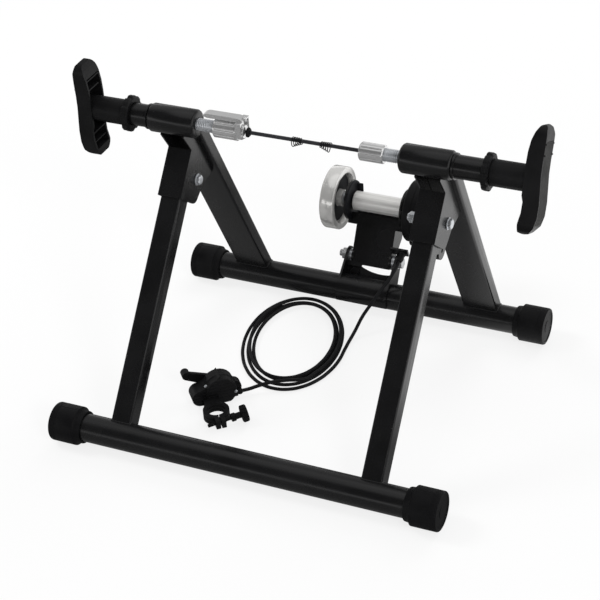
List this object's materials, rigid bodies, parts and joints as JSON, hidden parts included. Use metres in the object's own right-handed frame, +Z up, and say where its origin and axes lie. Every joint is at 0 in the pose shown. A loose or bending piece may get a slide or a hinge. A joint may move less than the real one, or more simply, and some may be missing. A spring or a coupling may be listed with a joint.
{
  "type": "wheel-on turbo trainer",
  "caption": "Folding steel A-frame stand that clamps a bicycle's rear axle over a roller with flywheel and magnetic brake, set by a cable shifter.",
  "frame": {"origin": "on the floor under the middle of the trainer's overall outline, cable and shifter left out", "axes": "+X from the flywheel side to the magnet side along the wheel axle, +Y from the leaning front legs to the roller, +Z up"},
  "size_m": [0.64, 0.552, 0.443],
  "materials": {
    "frame_paint": "gloss",
    "black_plastic": "matte",
    "cap_rubber": "matte",
    "soft_grip": "matte",
    "chrome": "polished",
    "steel": "satin",
    "zinc": "satin",
    "aluminium": "satin",
    "cable_cover": "gloss"
  },
  "bodies": {
    "rear_frame": {"rear_floor_tube": "frame_paint", "rear_cap_left": "cap_rubber", "rear_cap_right": "cap_rubber", "rear_leg_left": "frame_paint", "rear_leg_right": "frame_paint", "channel_left": "frame_paint", "channel_right": "frame_paint", "head_tube_left": "frame_paint", "head_tube_right": "frame_paint", "sleeve_left": "frame_paint", "sleeve_right": "frame_paint", "unit_saddle": "frame_paint", "fold_bolt_left": "steel", "fold_bolt_right": "steel", "fold_nut_left": "steel", "fold_nut_right": "steel", "pivot_bolt": "zinc", "pivot_nut": "zinc", "pivot_spacer_left": "steel", "pivot_spacer_right": "steel", "cable_lead": "cable_cover", "cable_coil": "cable_cover", "cable_tail": "cable_cover", "shifter_pod": "black_plastic", "shifter_clamp": "black_plastic", "shifter_barrel": "black_plastic"},
    "front_frame": {"front_floor_tube": "frame_paint", "front_cap_left": "cap_rubber", "front_cap_right": "cap_rubber", "front_leg_left": "frame_paint", "front_leg_right": "frame_paint"},
    "left_cup": {"cup_left": "chrome", "skewer_rod": "steel", "skewer_head": "chrome", "skewer_washer": "black_plastic", "skewer_spring_left": "steel", "skewer_spring_right": "steel"},
    "left_handle": {"handle_left": "black_plastic", "grip_left": "soft_grip", "screw_left": "steel"},
    "left_collar": {"collar_left": "black_plastic"},
    "skewer_lever": {"skewer_lever": "chrome"},
    "skewer_nut": {"skewer_nut": "chrome"},
    "right_cup": {"cup_right": "chrome"},
    "right_handle": {"handle_right": "black_plastic", "grip_right": "soft_grip", "screw_right": "steel"},
    "right_collar": {"collar_right": "black_plastic"},
    "resistance_unit": {"unit_bracket": "frame_paint", "bearing_left": "aluminium", "magnet_housing": "black_plastic"},
    "roller_set": {"roller": "aluminium", "roller_shaft": "steel", "flywheel": "chrome", "rotor_disc": "aluminium"},
    "magnet_cover": {"magnet_carrier": "black_plastic"},
    "cable_adjuster": {"cable_adjuster": "black_plastic"},
    "shifter_lever": {"shifter_lever": "black_plastic"},
    "shifter_knob": {"shifter_knob": "black_plastic"}
  },
  "joints": [
    {"name": "front_fold", "type": "hinge", "parent": "rear_frame", "child": "front_frame", "pos_m": [-0.007, -0.00599, 0.28116], "axis": [1, 0, 0], "range_deg": [0, 66]},
    {"name": "left_screw_travel", "type": "slide", "parent": "rear_frame", "child": "left_cup", "axis": [-1, 0, 0], "range_m": [0, 0.008]},
    {"name": "left_handle_turn", "type": "hinge", "parent": "left_cup", "child": "left_handle", "pos_m": [-0.297, -0.02, 0.375], "axis": [-1, 0, 0], "range_deg": [0, 1440]},
    {"name": "left_collar_turn", "type": "hinge", "parent": "rear_frame", "child": "left_collar", "pos_m": [-0.248, -0.02, 0.375], "axis": [-1, 0, 0], "range_deg": [0, 720]},
    {"name": "right_screw_travel", "type": "slide", "parent": "rear_frame", "child": "right_cup", "axis": [1, 0, 0], "range_m": [0, 0.018]},
    {"name": "right_handle_turn", "type": "hinge", "parent": "right_cup", "child": "right_handle", "pos_m": [0.297, -0.02, 0.375], "axis": [1, 0, 0], "range_deg": [0, 3240]},
    {"name": "right_collar_turn", "type": "hinge", "parent": "rear_frame", "child": "right_collar", "pos_m": [0.248, -0.02, 0.375], "axis": [1, 0, 0], "range_deg": [0, 720]},
    {"name": "skewer_lever_swing", "type": "hinge", "parent": "left_cup", "child": "skewer_lever", "pos_m": [-0.0847, -0.02, 0.375], "axis": [0, 1, 0], "range_deg": [0, 75]},
    {"name": "skewer_nut_turn", "type": "hinge", "parent": "left_cup", "child": "skewer_nut", "pos_m": [0.087, -0.02, 0.375], "axis": [1, 0, 0], "range_deg": [0, 1080]},
    {"name": "unit_tilt", "type": "hinge", "parent": "rear_frame", "child": "resistance_unit", "pos_m": [-0.007, 0.2, 0.063], "axis": [1, 0, 0], "range_deg": [-12, 0]},
    {"name": "roller_spin", "type": "hinge", "parent": "resistance_unit", "child": "roller_set", "pos_m": [-0.007, 0.23, 0.137], "axis": [1, 0, 0], "continuous": true},
    {"name": "magnet_turn", "type": "hinge", "parent": "resistance_unit", "child": "magnet_cover", "pos_m": [0.063, 0.23, 0.137], "axis": [1, 0, 0], "range_deg": [0, 30]},
    {"name": "cable_adjuster_turn", "type": "hinge", "parent": "resistance_unit", "child": "cable_adjuster", "pos_m": [0.039, 0.20195, 0.081], "axis": [0, -0.9455, -0.3256], "range_deg": [-720, 720]},
    {"name": "shifter_lever_swing", "type": "hinge", "parent": "rear_frame", "child": "shifter_lever", "pos_m": [-0.11644, -0.09713, 0.0175], "axis": [-0.6561, 0.7547, 0], "range_deg": [0, 100]},
    {"name": "shifter_knob_turn", "type": "hinge", "parent": "rear_frame", "child": "shifter_knob", "pos_m": [-0.08292, -0.16008, 0.00822], "axis": [0.7474, 0.6497, 0.1392], "range_deg": [0, 1080]}
  ],
  "couplings": [
    {"joint": "left_screw_travel", "follows": "left_handle_turn", "m_per_rad": 0.0003183},
    {"joint": "right_screw_travel", "follows": "right_handle_turn", "m_per_rad": 0.0003183},
    {"joint": "magnet_turn", "follows": "shifter_lever_swing", "ratio": 0.3}
  ]
}
